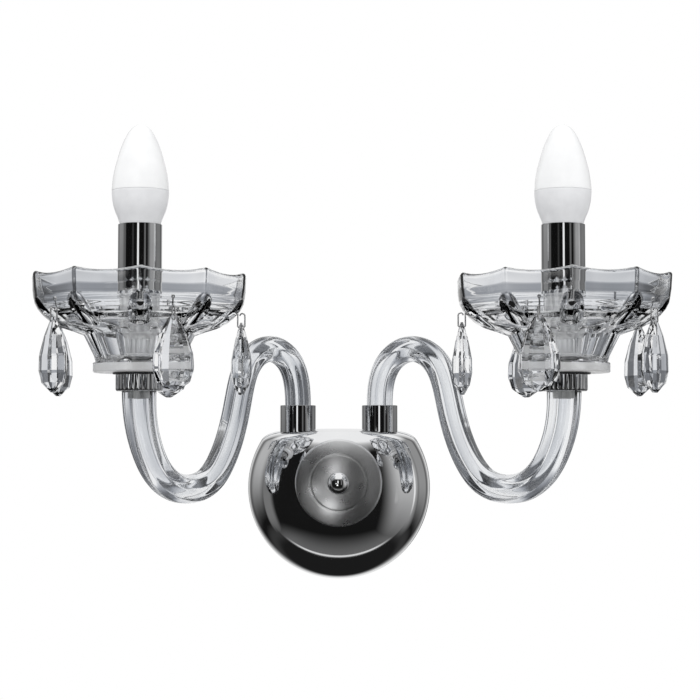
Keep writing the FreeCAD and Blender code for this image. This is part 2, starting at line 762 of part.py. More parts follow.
nodes = {
    "wall_bracket": build_bracket(),
    "centre_stud": build_stud(),
    "stud_nut": build_stud_nut(),
    "arm_carrier": build_carrier(),
    "terminal_block": build_block(),
    "wall_cover": build_cover(),
    "cover_boss": build_boss(),
    "ball_nut": build_ball_nut(),
}
side_pieces = {
    "ferrule": build_ferrule,
    "arm_nipple": build_arm_nipple,
    "arm_nut": build_arm_nut,
    "glass_arm": build_arm,
    "cup": build_cup,
    "washer": build_washer,
    "bowl": build_bowl,
    "candle_nipple": build_candle_nipple,
    "candle_cup": build_candle_cup,
    "lampholder": build_holder,
    "candle_sleeve": build_sleeve,
    "bulb_diffuser": build_diffuser,
    "bulb_housing": build_housing,
    "bulb_cap": build_cap,
}
wire_form = build_wire()
drop_form = build_drop()
drop_form.translate(Vec(wire_pin_r + wire_gap / 2, 0, drop_hole_z))

for side in candle_x:
    for name, build in side_pieces.items():
        nodes[name + "_" + side] = build(side)
    for k in range(drop_count):
        angle = drop_start[side] + k * 360.0 / drop_count
        tag = side + "_" + str(k + 1)
        nodes["hook_" + tag] = place_round(wire_form, side, angle)
        nodes["drop_" + tag] = place_round(drop_form, side, angle)

os.makedirs("parts", exist_ok=True)
for name, shape in nodes.items():
    solid = shape.Solids[0] if len(shape.Solids) == 1 else shape
    solid.exportStep("parts/" + name + ".step")
    print(name, len(shape.Solids), shape.isValid(), round(shape.Volume, 1))
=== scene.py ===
import math

import bmesh
import bpy
import numpy as np
from mathutils import Matrix, Vector


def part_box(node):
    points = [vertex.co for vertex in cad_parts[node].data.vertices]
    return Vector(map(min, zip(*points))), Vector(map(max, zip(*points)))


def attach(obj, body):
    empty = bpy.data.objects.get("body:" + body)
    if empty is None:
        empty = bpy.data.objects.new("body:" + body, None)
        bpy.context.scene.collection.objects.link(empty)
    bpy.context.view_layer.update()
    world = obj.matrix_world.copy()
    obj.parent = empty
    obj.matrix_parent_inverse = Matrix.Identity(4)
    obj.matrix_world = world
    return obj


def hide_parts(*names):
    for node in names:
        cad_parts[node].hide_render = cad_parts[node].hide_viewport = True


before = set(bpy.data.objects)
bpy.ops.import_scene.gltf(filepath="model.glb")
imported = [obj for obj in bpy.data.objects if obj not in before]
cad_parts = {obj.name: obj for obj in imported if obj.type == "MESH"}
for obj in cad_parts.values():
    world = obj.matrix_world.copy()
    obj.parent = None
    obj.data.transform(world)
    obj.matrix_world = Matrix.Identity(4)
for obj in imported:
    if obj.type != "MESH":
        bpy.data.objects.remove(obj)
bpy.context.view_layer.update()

mm = 0.001
sides = ("left", "right")
print("frame loaded:", len(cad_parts), "nodes")


# eases from 0 at low to 1 at high
def smoothStep(low, high, value):
    t = min(max((value - low) / (high - low), 0.0), 1.0)
    return t * t * (3 - 2 * t)


# the smaller of two lengths, rounded over the reach where they cross
def softMin(a, b, reach):
    t = min(max(0.5 + 0.5 * (b - a) / reach, 0.0), 1.0)
    return b + (a - b) * t - reach * t * (1 - t)


# x and y of a solid's middle, in millimetres like all lengths up to the mesh
def axisOf(node):
    low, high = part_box(node)
    return (low.x + high.x) / 2 / mm, (low.y + high.y) / 2 / mm


def bottomOf(node):
    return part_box(node)[0].z / mm


def topOf(node):
    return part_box(node)[1].z / mm


def anglesRound(count):
    return [2 * math.pi * k / count for k in range(count)]


# the piece takes the place of one solid; edges sharper than the crease stay crisp
def placePiece(name, mesh, finish, body, node, crease):
    mesh.materials.append(finish)
    mesh.shade_smooth()
    mesh.set_sharp_from_angle(angle=math.radians(crease))
    piece = bpy.data.objects.new(name, mesh)
    bpy.context.scene.collection.objects.link(piece)
    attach(piece, body)
    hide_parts(node)


# points are in millimetres and the mesh is in metres
def meshFrom(name, points, faces):
    mesh = bpy.data.meshes.new(name)
    mesh.from_pydata([(x * mm, y * mm, z * mm) for x, y, z in points], [], faces)
    mesh.validate()
    mesh.update()
    bm = bmesh.new()
    bm.from_mesh(mesh)
    bmesh.ops.remove_doubles(bm, verts=bm.verts, dist=1e-7)
    bmesh.ops.recalc_face_normals(bm, faces=bm.faces)
    bm.to_mesh(mesh)
    bm.free()
    return mesh


# closed rings of points; the last ring joins the first
def ringMesh(name, rings):
    count = len(rings[0])
    points = [point for ring in rings for point in ring]
    faces = []
    for i in range(len(rings)):
        here = i * count
        there = (i + 1) % len(rings) * count
        for j in range(count):
            k = (j + 1) % count
            faces.append((here + j, here + k, there + k, there + j))
    return meshFrom(name, points, faces)


# closed outline from corners of (radius, height, corner radius)
def roundedOutline(corners, steps=5):
    mostOfRun = 0.49  # a corner leaves room for the next one
    points = []
    count = len(corners)
    for i, (r, z, corner) in enumerate(corners):
        if corner <= 0:
            points.append((r, z))
            continue
        here = Vector((r, z))
        before = Vector(corners[i - 1][:2]) - here
        after = Vector(corners[(i + 1) % count][:2]) - here
        cut = min(corner / math.tan(before.angle(after) / 2),
                  before.length * mostOfRun, after.length * mostOfRun)
        start = here + before.normalized() * cut
        end = here + after.normalized() * cut
        for k in range(steps + 1):
            t = k / steps
            point = start * (1 - t) ** 2 + here * 2 * t * (1 - t) + end * t ** 2
            points.append((point.x, point.y))
    return points


# turns an outline round an upright axis; shape may change a point by its angle
def turnedMesh(name, outline, centre, columns, shape=None):
    rings = []
    for r, z in outline:
        ring = []
        for angle in anglesRound(columns):
            radius, height = shape(r, z, angle) if shape else (r, z)
            ring.append((centre[0] + radius * math.cos(angle),
                         centre[1] + radius * math.sin(angle), height))
        rings.append(ring)
    return ringMesh(name, rings)


# natural cubic curve through points, sampled evenly along its length
def curveThrough(points, spacing):
    points = np.array(points, float)
    runs = np.linalg.norm(np.diff(points, axis=0), axis=1)
    knots = np.concatenate([[0.0], np.cumsum(runs)])
    gaps = np.diff(knots)
    count = len(points)
    matrix = np.eye(count)
    right = np.zeros((count, points.shape[1]))
    for i in range(1, count - 1):
        matrix[i, i - 1] = gaps[i - 1]
        matrix[i, i] = 2 * (gaps[i - 1] + gaps[i])
        matrix[i, i + 1] = gaps[i]
        right[i] = 6 * ((points[i + 1] - points[i]) / gaps[i]
                        - (points[i] - points[i - 1]) / gaps[i - 1])
    bends = np.linalg.solve(matrix, right)
    samples = []
    for value in np.linspace(0, knots[-1], int(knots[-1] / spacing) + 1):
        i = min(int(np.searchsorted(knots, value, side="right")) - 1, count - 2)
        a = knots[i + 1] - value
        b = value - knots[i]
        h = gaps[i]
        samples.append((bends[i] * a ** 3 + bends[i + 1] * b ** 3) / (6 * h)
                       + (points[i] / h - bends[i] * h / 6) * a
                       + (points[i + 1] / h - bends[i + 1] * h / 6) * b)
    return np.array(samples)


# first and last are angles in degrees
def arcPoints(centre, radius, first, last, steps):
    points = []
    for k in range(steps + 1):
        angle = math.radians(first + (last - first) * k / steps)
        points.append((centre[0] + radius * math.cos(angle), centre[1] + radius * math.sin(angle)))
    return points


noiseSpan = (0.3, 0.7)  # nearly all of a noise's values lie between these


def newFinish(name):
    material = bpy.data.materials.new(name)
    material.use_nodes = True
    tree = material.node_tree
    return material, tree, tree.nodes["Principled BSDF"]


def addNoise(tree, scale, detail=3.0):
    coord = tree.nodes.new("ShaderNodeTexCoord")
    noise = tree.nodes.new("ShaderNodeTexNoise")
    noise.inputs["Scale"].default_value = scale
    noise.inputs["Detail"].default_value = detail
    tree.links.new(coord.outputs["Object"], noise.inputs["Vector"])
    return noise.outputs["Fac"]


# colour ramp from (place, colour) steps
def rampNode(tree, value, steps):
    ramp = tree.nodes.new("ShaderNodeValToRGB")
    elements = ramp.color_ramp.elements
    elements.remove(elements[-1])
    for k, (place, colour) in enumerate(steps):
        element = elements[0] if k == 0 else elements.new(place)
        element.position = place
        element.color = (*colour, 1)
    tree.links.new(value, ramp.inputs["Fac"])
    return ramp.outputs["Color"]


# cloudy change between two close colours
def addColour(tree, shader, noise, dark, light):
    colour = rampNode(tree, noise, list(zip(noiseSpan, (dark, light))))
    tree.links.new(colour, shader.inputs["Base Color"])


def addRoughness(tree, shader, noise, low, high):
    ranged = tree.nodes.new("ShaderNodeMapRange")
    names = ("From Min", "From Max", "To Min", "To Max")
    for name, number in zip(names, (*noiseSpan, low, high)):
        ranged.inputs[name].default_value = number
    tree.links.new(noise, ranged.inputs["Value"])
    tree.links.new(ranged.outputs["Result"], shader.inputs["Roughness"])


def addBump(tree, shader, noise, strength, distance):
    bump = tree.nodes.new("ShaderNodeBump")
    bump.inputs["Strength"].default_value = strength
    bump.inputs["Distance"].default_value = distance
    tree.links.new(noise, bump.inputs["Height"])
    tree.links.new(bump.outputs["Normal"], shader.inputs["Normal"])


# grain is the noise's scale, bump its depth in metres, metal 1 unless given
metalLooks = {
    "polishedChrome": {"dark": (0.86, 0.865, 0.875), "light": (0.90, 0.905, 0.91),
                       "grain": 60, "rough": (0.025, 0.05)},
    # painted shade: the same chrome as the polished one with its colour darkened, so the cups,
    # ferrules and sleeves look dark
    "shadedChrome": {"dark": (0.50, 0.505, 0.515), "light": (0.58, 0.585, 0.59),
                   "grain": 60, "rough": (0.03, 0.06)},
    "satinChrome": {"dark": (0.70, 0.705, 0.715), "light": (0.80, 0.805, 0.81),
                    "grain": 90, "rough": (0.26, 0.32)},
    "silverCup": {"dark": (0.80, 0.805, 0.81), "light": (0.90, 0.905, 0.91),
                  "grain": 80, "rough": (0.18, 0.24), "metal": 0.55},
    "brightWire": {"dark": (0.74, 0.74, 0.75), "light": (0.88, 0.88, 0.88),
                   "grain": 900, "rough": (0.12, 0.22), "bump": 0.00002},
    "zincSteel": {"dark": (0.44, 0.44, 0.43), "light": (0.62, 0.62, 0.60),
                  "grain": 160, "rough": (0.28, 0.48), "bump": 0.00008},
    "nickelCap": {"dark": (0.55, 0.54, 0.50), "light": (0.72, 0.71, 0.67),
                  "grain": 220, "rough": (0.18, 0.32), "bump": 0.00004},
}
metalBumpStrength = 0.5


def metalFinish(name):
    look = metalLooks[name]
    material, tree, shader = newFinish(name)
    noise = addNoise(tree, look["grain"])
    addColour(tree, shader, noise, look["dark"], look["light"])
    addRoughness(tree, shader, noise, *look["rough"])
    shader.inputs["Metallic"].default_value = look.get("metal", 1.0)
    if "bump" in look:
        addBump(tree, shader, noise, metalBumpStrength, look["bump"])
    return material


# ground is how far the glass is frosted, from 0 to 1
glassLooks = {
    "cutCrystal": {"dark": (0.955, 0.965, 0.975), "light": (1.0, 1.0, 1.0),
                   "ior": 1.54, "grain": 45, "ground": 0.0},
    "groundCrystal": {"dark": (0.955, 0.965, 0.975), "light": (1.0, 1.0, 1.0),
                      "ior": 1.54, "grain": 45, "ground": 0.45},
    "dropCrystal": {"dark": (0.965, 0.975, 0.985), "light": (1.0, 1.0, 1.0),
                    "ior": 1.58, "grain": 30, "ground": 0.0},
    "armGlass": {"dark": (0.86, 0.87, 0.885), "light": (0.92, 0.93, 0.94),
                 "ior": 1.50, "grain": 40, "ground": 0.0},
}
groundRoughness = 0.8  # roughness of fully ground glass


def glassFinish(name):
    look = glassLooks[name]
    material, tree, shader = newFinish(name)
    noise = addNoise(tree, look["grain"], detail=1.0)
    addColour(tree, shader, noise, look["dark"], look["light"])
    shader.inputs["Transmission Weight"].default_value = 1.0 - look["ground"]
    shader.inputs["Roughness"].default_value = look["ground"] * groundRoughness
    shader.inputs["IOR"].default_value = look["ior"]
    return material


plasticLooks = {
    "opalDiffuser": {"dark": (0.86, 0.865, 0.87), "light": (0.90, 0.905, 0.91),
                     "grain": 90, "rough": (0.20, 0.26), "bump": 0.00001},
    "bulbHousing": {"dark": (0.74, 0.745, 0.76), "light": (0.79, 0.795, 0.81),
                    "grain": 140, "rough": (0.30, 0.38), "bump": 0.00002},
    "blackHolder": {"dark": (0.014, 0.014, 0.015), "light": (0.03, 0.03, 0.031),
                    "grain": 200, "rough": (0.35, 0.5), "bump": 0.00004},
    "terminalPlastic": {"dark": (0.70, 0.69, 0.65), "light": (0.80, 0.79, 0.75),
                        "grain": 160, "rough": (0.4, 0.55), "bump": 0.00004},
    "darkWasher": {"dark": (0.012, 0.012, 0.013), "light": (0.035, 0.035, 0.036),
                   "grain": 300, "rough": (0.4, 0.6), "bump": 0.00005},
}
plasticBumpStrength = 0.4
plasticIor = 1.46


def plasticFinish(name):
    look = plasticLooks[name]
    material, tree, shader = newFinish(name)
    noise = addNoise(tree, look["grain"])
    addColour(tree, shader, noise, look["dark"], look["light"])
    addRoughness(tree, shader, noise, *look["rough"])
    addBump(tree, shader, noise, plasticBumpStrength, look["bump"])
    shader.inputs["IOR"].default_value = plasticIor
    return material


chrome = metalFinish("polishedChrome")
# chrome with painted shade, for the cups, ferrules and sleeves
shadedChrome = metalFinish("shadedChrome")
satinChrome = metalFinish("satinChrome")
silverCup = metalFinish("silverCup")
brightWire = metalFinish("brightWire")
zincSteel = metalFinish("zincSteel")
nickelCap = metalFinish("nickelCap")
cutCrystal = glassFinish("cutCrystal")
groundCrystal = glassFinish("groundCrystal")
dropCrystal = glassFinish("dropCrystal")
armGlass = glassFinish("armGlass")
opalDiffuser = plasticFinish("opalDiffuser")
bulbHousing = plasticFinish("bulbHousing")
blackHolder = plasticFinish("blackHolder")
terminalPlastic = plasticFinish("terminalPlastic")
darkWasher = plasticFinish("darkWasher")
print("finishes ready")


# wall cover: a pressed dome, cut level at the top, with a rolled rim
cover = {
    "radius": 60.8,
    "depth": 66.0,
    "sideDepth": 24.0,
    "shoulder": 31.0,
    "top": 38.5,
    "archRadius": 600.0,
    "cornerBlend": 9.0,
    "wall": 1.2,
    # swell past the dome's side, and depth over the wall
    "rim": [(0.2, 0.0), (1.2, 0.05), (1.65, 0.6), (1.7, 1.4), (1.6, 2.3), (1.2, 3.1),
            (0.6, 3.5), (0.15, 3.62), (0.0, 3.9)],
    "rimLead": 0.6,
    "columns": 480,
    "sideRows": 6,
    "arcRows": 30,
    "tip": 0.02,
    "crease": 50,
}


# the dome's front, its shoulder's radius and centre, its crown's radius, and where they meet
def domeArcs(grow):
    front = cover["depth"] + grow
    bend = cover["shoulder"] + grow
    bendCentre = cover["radius"] + grow - bend
    rise = front - cover["sideDepth"]
    crown = (bendCentre ** 2 + rise ** 2 - bend ** 2) / (2 * (rise - bend))
    meet = math.atan2(cover["sideDepth"] - (front - crown), bendCentre)
    return front, bend, bendCentre, crown, meet


# depth of the dome's outside over the wall, at a distance from its centre
def domeDepth(distance):
    front, bend, bendCentre, crown, meet = domeArcs(0.0)
    if distance < crown * math.cos(meet):
        return front - crown + math.sqrt(crown ** 2 - distance ** 2)
    return cover["sideDepth"] + math.sqrt(max(bend ** 2 - (distance - bendCentre) ** 2, 0.0))


# distance from the centre to the arched top, in a direction
def archDistance(angle, top):
    rise = math.sin(angle)
    curve = math.cos(angle) ** 2 / (2 * cover["archRadius"])
    root = math.sqrt(max(rise ** 2 + 4 * curve * top, 0.0))
    return 2 * top / max(rise + root, 1e-4)


def coverRing(distance, depth, top, blend):
    ring = []
    for angle in anglesRound(cover["columns"]):
        reach = softMin(distance, archDistance(angle, top), blend)
        ring.append((reach * math.cos(angle), -depth, reach * math.sin(angle)))
    return ring


# (distance, depth) down the side, round the shoulder and over the crown
def domeRows(grow, startDepth):
    front, bend, bendCentre, crown, meet = domeArcs(grow)
    sideEnd, steps, arcSteps = cover["sideDepth"], cover["sideRows"], cover["arcRows"]
    rows = [(cover["radius"] + grow, startDepth + (sideEnd - startDepth) * k / steps)
            for k in range(steps)]
    for k in range(arcSteps + 1):
        angle = meet * k / arcSteps
        rows.append((bendCentre + bend * math.cos(angle), sideEnd + bend * math.sin(angle)))
    for k in range(1, arcSteps + 1):
        angle = meet + (math.pi / 2 - meet) * k / arcSteps
        rows.append((max(crown * math.cos(angle), cover["tip"]),
                     front - crown + crown * math.sin(angle)))
    return rows


def buildCover():
    radius, top, blend, wall = (cover[key] for key in ("radius", "top", "cornerBlend", "wall"))
    rings = [coverRing(radius + swell, depth, top + swell, blend) for swell, depth in cover["rim"]]
    sideStart = cover["rim"][-1][1] + cover["rimLead"]
    rings += [coverRing(distance, depth, top, blend) for distance, depth in domeRows(0.0, sideStart)]
    inner = [coverRing(distance, depth, top - wall, blend - wall)
             for distance, depth in domeRows(-wall, 0.0)]
    mesh = ringMesh("wallCover", rings + inner[::-1])
    placePiece("wallCover", mesh, chrome, "fixture", "wall_cover", cover["crease"])


buildCover()

studHeight = (bottomOf("ball_nut") + topOf("ball_nut")) / 2

# boss disc: follows the cover's face, with one pressed ring
boss = {
    "radius": 28.6,
    "wall": 1.3,
    "edge": 1.1,
    "edgeRows": 8,
    "ringRadius": 18.4,
    "ringWidth": 0.66,
    "ringDepth": 0.1,
    "hole": 2.8,
    "sink": 0.4,
    # rows stand closer together near the pressed ring
    "step": 0.9,
    "fineStep": 0.35,
    "fineReach": 3.0,
    "columns": 240,
    "crease": 45,
}


def bossHeight(r):
    fall = max(r - (boss["radius"] - boss["edge"]), 0.0) / boss["edge"]
    height = boss["wall"] * math.sqrt(max(1 - fall ** 2, 0.0))
    groove = math.exp(-((r - boss["ringRadius"]) / boss["ringWidth"]) ** 2)
    return height - boss["ringDepth"] * groove


def bossRing(r, height):
    ring = []
    for angle in anglesRound(boss["columns"]):
        x = r * math.cos(angle)
        z = studHeight + r * math.sin(angle)
        ring.append((x, -domeDepth(math.hypot(x, z)) - height, z))
    return ring


def buildBoss():
    radii = []
    r = boss["hole"]
    while r < boss["radius"] - boss["edge"]:
        radii.append(r)
        nearRing = abs(r - boss["ringRadius"]) < boss["fineReach"]
        r += boss["fineStep"] if nearRing else boss["step"]
    for k in range(boss["edgeRows"] + 1):
        angle = math.pi / 2 * k / boss["edgeRows"]
        radii.append(boss["radius"] - boss["edge"] * (1 - math.sin(angle)))
    rings = [bossRing(r, bossHeight(r)) for r in radii]
    rings += [bossRing(boss["radius"], -boss["sink"]), bossRing(boss["hole"], -boss["sink"])]
    mesh = ringMesh("coverBoss", rings)
    placePiece("coverBoss", mesh, satinChrome, "fixture", "cover_boss", boss["crease"])


# ball nut: a collar, a neck and a ball, screwed on the stud
ball = {
    "radius": 7.2,
    "neckRadius": 4.6,
    "neckHeight": 2.2,
    # (radius, height over the boss)
    "collar": [(5.4, 0.0), (5.7, 0.3), (5.7, 0.7), (5.35, 1.0), (4.6, 1.1)],
    "bore": 2.58,
    "boreDepth": 9.0,
    "arcRows": 48,
    "tip": 0.01,
    "columns": 96,
    "crease": 40,
}


def buildBallNut():
    seat = -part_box("ball_nut")[1].y / mm
    rise = math.sqrt(ball["radius"] ** 2 - ball["neckRadius"] ** 2)
    centre = seat + ball["neckHeight"] + rise
    start = -math.degrees(math.asin(rise / ball["radius"]))
    arc = arcPoints((0, centre), ball["radius"], start, 90, ball["arcRows"])
    bottom = seat + ball["boreDepth"]
    outline = [(ball["bore"], seat)] + [(r, seat + height) for r, height in ball["collar"]]
    outline += [(max(r, ball["tip"]), depth) for r, depth in arc]
    outline += [(ball["tip"], bottom), (ball["bore"], bottom)]
    rings = [[(r * math.cos(angle), -depth, studHeight + r * math.sin(angle))
              for angle in anglesRound(ball["columns"])] for r, depth in outline]
    mesh = ringMesh("ballNut", rings)
    placePiece("ballNut", mesh, chrome, "ball_nut", "ball_nut", ball["crease"])


buildBoss()
buildBallNut()
print("cover, boss and ball nut built")


# ferrules: cups on the cover's top that the arms stand in
ferrule = {
    "radius": 12.0,
    "bore": 5.1,
    "cupBore": 8.95,
    "cupDepth": 13.3,
    "edge": 0.45,
    "innerEdge": 0.2,
    "columns": 128,
    "crease": 40,
}


def buildFerrule(side):
    node = "ferrule_" + side
    centre = axisOf(node)
    low, top = cover["top"], topOf(node)
    floorHeight = top - ferrule["cupDepth"]
    outline = roundedOutline([
        (ferrule["bore"], low, 0), (ferrule["radius"], low, 0),
        (ferrule["radius"], top, ferrule["edge"]), (ferrule["cupBore"], top, ferrule["innerEdge"]),
        (ferrule["cupBore"], floorHeight, 0), (ferrule["bore"], floorHeight, 0)])

    # the underside follows the cover's arched top
    def shape(r, z, angle):
        if z > low:
            return r, z
        x = centre[0] + r * math.cos(angle)
        return r, low - x ** 2 / (2 * cover["archRadius"])

    mesh = turnedMesh("ferrule_%s_dressed" % side, outline, centre, ferrule["columns"], shape)
    placePiece("ferrule." + side, mesh, shadedChrome, "fixture", node, ferrule["crease"])


# glass arms: a fluted tube with a round bore, up over an arch and down through a U
arm = {
    # share of the reach, and height; straight in the ferrule and in the cup
    "line": [(0, 42.2), (0, 56.0), (0.012, 72.0), (0.07, 86.5), (0.185, 93.0), (0.305, 85.5),
             (0.372, 67.5), (0.405, 49.0), (0.445, 32.0), (0.50, 17.0), (0.585, 4.5), (0.69, 0.3),
             (0.80, 2.6), (0.89, 12.0), (0.95, 26.0), (0.985, 41.0), (0.998, 54.0), (1, 62.0),
             (1, 70.5)],
    # radius at the foot, half way and at the top, and how late it swells
    "radii": (8.65, 9.2, 11.25),
    "swell": 1.5,
    "flutes": 8,
    "fluteDepth": 0.9,
    "fluteShape": 0.6,
    "bore": 3.5,
    "spacing": 1.4,
    "columns": 144,
    "crease": 55,
}


def armRadius(share):
    low, middle, high = arm["radii"]
    if share < 0.5:
        return low + (middle - low) * share / 0.5
    return middle + (high - middle) * ((share - 0.5) / 0.5) ** arm["swell"]


def buildArm(side):
    footX, footY = axisOf("ferrule_" + side)
    endX, endY = axisOf("cup_" + side)
    stations = [(footX + (endX - footX) * share, footY + (endY - footY) * share, z)
                for share, z in arm["line"]]
    path = curveThrough(stations, arm["spacing"])
    last = len(path) - 1
    up = Vector((0, 0, 1))
    across = Vector((endX - footX, endY - footY, 0)).normalized().cross(up)
    outside, inside = [], []
    for i, point in enumerate(path):
        along = up if i in (0, last) else Vector(path[i + 1] - path[i - 1]).normalized()
        inward = along.cross(across)
        radius = armRadius(i / last)
        outer, inner = [], []
        for angle in anglesRound(arm["columns"]):
            lobe = abs(math.sin(angle * arm["flutes"] / 2)) ** arm["fluteShape"]
            r = radius - arm["fluteDepth"] * (1 - lobe)
            spoke = across * math.cos(angle) + inward * math.sin(angle)
            outer.append(tuple(Vector(point) + spoke * r))
            inner.append(tuple(Vector(point) + spoke * arm["bore"]))
        outside.append(outer)
        inside.append(inner)
    mesh = ringMesh("glassArm_" + side, outside + inside[::-1])
    placePiece("glassArm." + side, mesh, armGlass, "fixture",
               "glass_arm_" + side, arm["crease"])


# cups under the bowls, scalloped round the side
cup = {
    "radius": 15.15,
    "bore": 11.55,
    "hole": 5.1,
    "roof": 3.5,
    "round": 2.4,
    "edge": 0.6,
    "mouthEdge": 0.2,
    "edgeRows": 8,
    "flutes": 22,
    "fluteDepth": 0.55,
    "fluteShape": 0.7,
    # flutes fade in outside the bore, inside the side and below the top
    "fluteFade": (1.0, 0.6, 1.2),
    "columns": 352,
    "crease": 60,
}


def buildCup(side):
    node = "cup_" + side
    low, top = bottomOf(node), topOf(node)
    roof = top - cup["roof"]
    outline = roundedOutline([
        (cup["bore"], low, cup["mouthEdge"]), (cup["radius"], low, cup["round"]),
        (cup["radius"], top, cup["edge"]), (cup["hole"], top, 0),
        (cup["hole"], roof, 0), (cup["bore"], roof, 0)], cup["edgeRows"])
    fromBore, fromSide, fromTop = cup["fluteFade"]

    def shape(r, z, angle):
        share = smoothStep(cup["bore"] + fromBore, cup["radius"] - fromSide, r)
        share *= smoothStep(top, top - fromTop, z)
        scallop = abs(math.cos(angle * cup["flutes"] / 2)) ** cup["fluteShape"]
        return r - cup["fluteDepth"] * share * (1 - scallop), z

    mesh = turnedMesh("cup_%s_dressed" % side, outline, axisOf(node), cup["columns"], shape)
    placePiece("cup." + side, mesh, shadedChrome, "fixture", node, cup["crease"])


for side in sides:
    buildFerrule(side)
    buildArm(side)
    buildCup(side)
print("ferrules, glass arms and cups built")


# crystal bowls: ten cusps at the rim, scalloped panels, leaf cuts below them and a cut stem
bowl = {
    # (radius, height over the seat)
    "foot": [(28.9, 0.0), (29.5, 0.6), (29.5, 5.4)],
    "outside": [(29.5, 6.0), (28.0, 6.5), (28.9, 10.2), (31.0, 14.4), (35.7, 23.8), (42.5, 26.4),
                (50.0, 28.8), (56.2, 31.8), (61.2, 35.9), (65.0, 39.9), (67.4, 43.9), (68.6, 48.4),
                (69.4, 53.0), (70.0, 60.9)],
    "inside": [(66.3, 60.9), (65.3, 47.5), (64.0, 43.4), (61.2, 40.2), (56.0, 36.6), (50.0, 34.2),
               (41.0, 30.6), (32.5, 27.0), (24.0, 9.6), (20.0, 7.4)],
    "hole": 5.1,
    "cusps": 10,
    "start": {"left": 7.0, "right": -2.0},
    "rimRise": 2.6,
    "dipFrom": 44.0,
    # panels between the cusps deepen between these heights
    "panelDepth": 1.9,
    "panelRise": (30.0, 62.0),
    # cuts run along the chord of two points of the outside, counted from 0
    "leafChord": (6, 10),
    "leafDepth": 1.7,
    "leafRadius": 9.0,
    "leafWay": (0.75, 0.65),
    "stemChord": (1, 4),
    "stemDepth": 1.3,
    "stemRadius": 7.5,
    "stemRise": (6.5, 9.0),
    # shares of a chord past its ends where a cut starts to fade and is gone
    "chordFade": (0.35, 0.75),
    "groundHeight": 5.5,
    "boreMargin": 0.2,
    "outsideStep": 0.8,
    "insideStep": 1.6,
    "rimRows": 14,
    "columns": 600,
    "crease": 28,
}


def fineOutline(points, spacing):
    rows = [points[0]]
    for (r0, z0), (r1, z1) in zip(points, points[1:]):
        steps = max(1, int(math.hypot(r1 - r0, z1 - z0) / spacing))
        for k in range(1, steps + 1):
            rows.append((r0 + (r1 - r0) * k / steps, z0 + (z1 - z0) * k / steps))
    return rows


# how far a round-bottomed cut along a chord goes into the glass
def chordCut(r, z, turn, chord, radius, depth):
    lowR, lowZ = bowl["outside"][chord[0]]
    highR, highZ = bowl["outside"][chord[1]]
    dr, dz = highR - lowR, highZ - lowZ
    length = math.hypot(dr, dz)
    out = ((r - lowR) * dz - (z - lowZ) * dr) / length
    along = ((r - lowR) * dr + (z - lowZ) * dz) / length ** 2
    aside = abs(r * math.sin(turn))
    if aside >= radius or math.cos(turn) < 0:
        return 0.0
    cut = out + depth - (radius - math.sqrt(radius ** 2 - aside ** 2))
    near, far = bowl["chordFade"]
    fade = smoothStep(-far, -near, along) * smoothStep(1 + far, 1 + near, along)
    return max(cut, 0.0) * fade


def bowlRows():
    outside, inside = bowl["outside"], bowl["inside"]
    (rimOut, rimHeight), rimIn = outside[-1], inside[0][0]
    rim = arcPoints(((rimOut + rimIn) / 2, rimHeight), (rimOut - rimIn) / 2, 0, 180, bowl["rimRows"])
    rows = [(r, z, "foot") for r, z in [(bowl["hole"], 0.0)] + bowl["foot"]]
    rows += [(r, z, "outside") for r, z in fineOutline(outside, bowl["outsideStep"])]
    rows += [(r, z, "rim") for r, z in rim]
    rows += [(r, z, "inside") for r, z in fineOutline(inside, bowl["insideStep"])]
    return rows + [(bowl["hole"], inside[-1][1], "floor")]


# a point of the bowl moved by the cuts; turn is its angle from the nearest cusp
def cutPoint(r, z, part, turn, step):
    radius, height = r, z
    share = abs(turn) / (step / 2)
    sag = 1 - (1 - share) ** 2
    if part in ("outside", "rim", "inside"):
        radius -= bowl["panelDepth"] * sag * smoothStep(*bowl["panelRise"], z)
    if part == "outside":
        leaf = chordCut(r, z, turn, bowl["leafChord"], bowl["leafRadius"], bowl["leafDepth"])
        stem = chordCut(r, z, step / 2 - abs(turn), bowl["stemChord"],
                        bowl["stemRadius"], bowl["stemDepth"])
        inward, upward = bowl["leafWay"]
        radius -= inward * leaf + stem * smoothStep(*bowl["stemRise"], z)
        height += upward * leaf
    if z > bowl["dipFrom"]:
        rimTop = bowl["outside"][-1][1] + (bowl["outside"][-1][0] - bowl["inside"][0][0]) / 2
        height -= bowl["rimRise"] * sag * (z - bowl["dipFrom"]) / (rimTop - bowl["dipFrom"])
    return radius, height


def buildBowl(side):
    node = "bowl_" + side
    centre = axisOf("candle_sleeve_" + side)
    seat = bottomOf(node)
    step = 2 * math.pi / bowl["cusps"]
    start = math.radians(bowl["start"][side] - 90)
    rings = []
    for r, z, part in bowlRows():
        ring = []
        for angle in anglesRound(bowl["columns"]):
            turn = (angle - start + step / 2) % step - step / 2
            radius, height = cutPoint(r, z, part, turn, step)
            ring.append((centre[0] + radius * math.cos(angle),
                         centre[1] + radius * math.sin(angle), seat + height))
        rings.append(ring)
    mesh = ringMesh("bowl_%s_dressed" % side, rings)
    placePiece("crystalBowl." + side, mesh, cutCrystal, "fixture", node, bowl["crease"])

    # the foot's underside and side are ground
    mesh.materials.append(groundCrystal)
    for face in mesh.polygons:
        spot = face.center / mm
        distance = math.hypot(spot.x - centre[0], spot.y - centre[1])
        if spot.z < seat + bowl["groundHeight"] and distance > bowl["hole"] + bowl["boreMargin"]:
            face.material_index = 1


for side in sides:
    buildBowl(side)
print("crystal bowls built")


# candle sleeve: a plain chrome tube
sleeve = {"radius": 14.15, "wall": 0.7, "edge": 0.25, "footEdge": 0.15, "columns": 160, "crease": 40}

